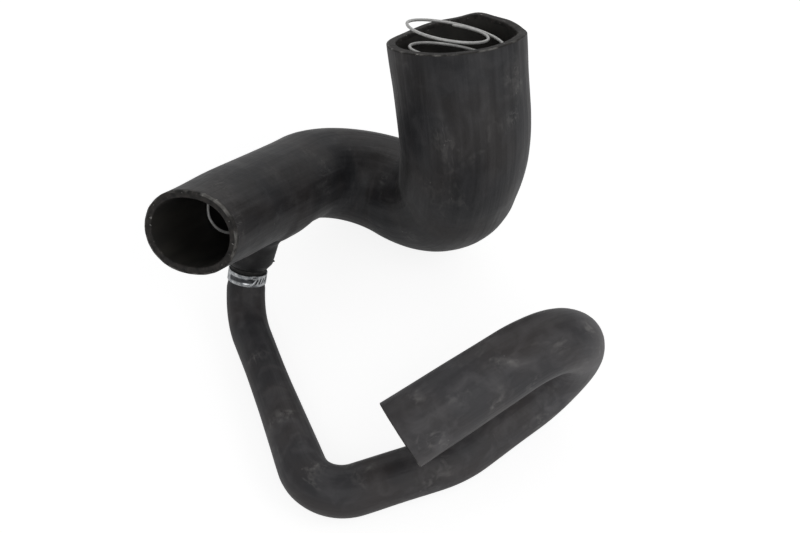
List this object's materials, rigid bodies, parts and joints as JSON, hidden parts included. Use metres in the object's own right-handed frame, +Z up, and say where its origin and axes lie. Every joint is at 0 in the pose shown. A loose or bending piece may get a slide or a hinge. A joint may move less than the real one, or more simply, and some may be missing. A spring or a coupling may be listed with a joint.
{
  "type": "charge air hose",
  "caption": "Moulded rubber reducer hose with a wire support spring inside and a thinner bent branch hose clamped to a boss on its side.",
  "frame": {"origin": "middle of the footprint, on the surface that the hose lies on", "axes": "+Z up, as it comes to rest on its side; +X to the right and +Y away, as the picture looks at it; the big mouth opens up and away, the small mouth to the left and towards the viewer"},
  "size_m": [0.2876, 0.3006, 0.2009],
  "materials": {
    "rubber": "matte",
    "spring_wire": "satin",
    "pipe_plastic": "matte",
    "clamp_steel": "satin"
  },
  "bodies": {
    "root": {"main_hose": "rubber", "branch_hose": "rubber", "support_spring": "spring_wire", "connector_pipe": "pipe_plastic", "clamp_band": "clamp_steel", "clamp_housing": "clamp_steel", "clamp_screw": "clamp_steel"}
  },
  "joints": []
}
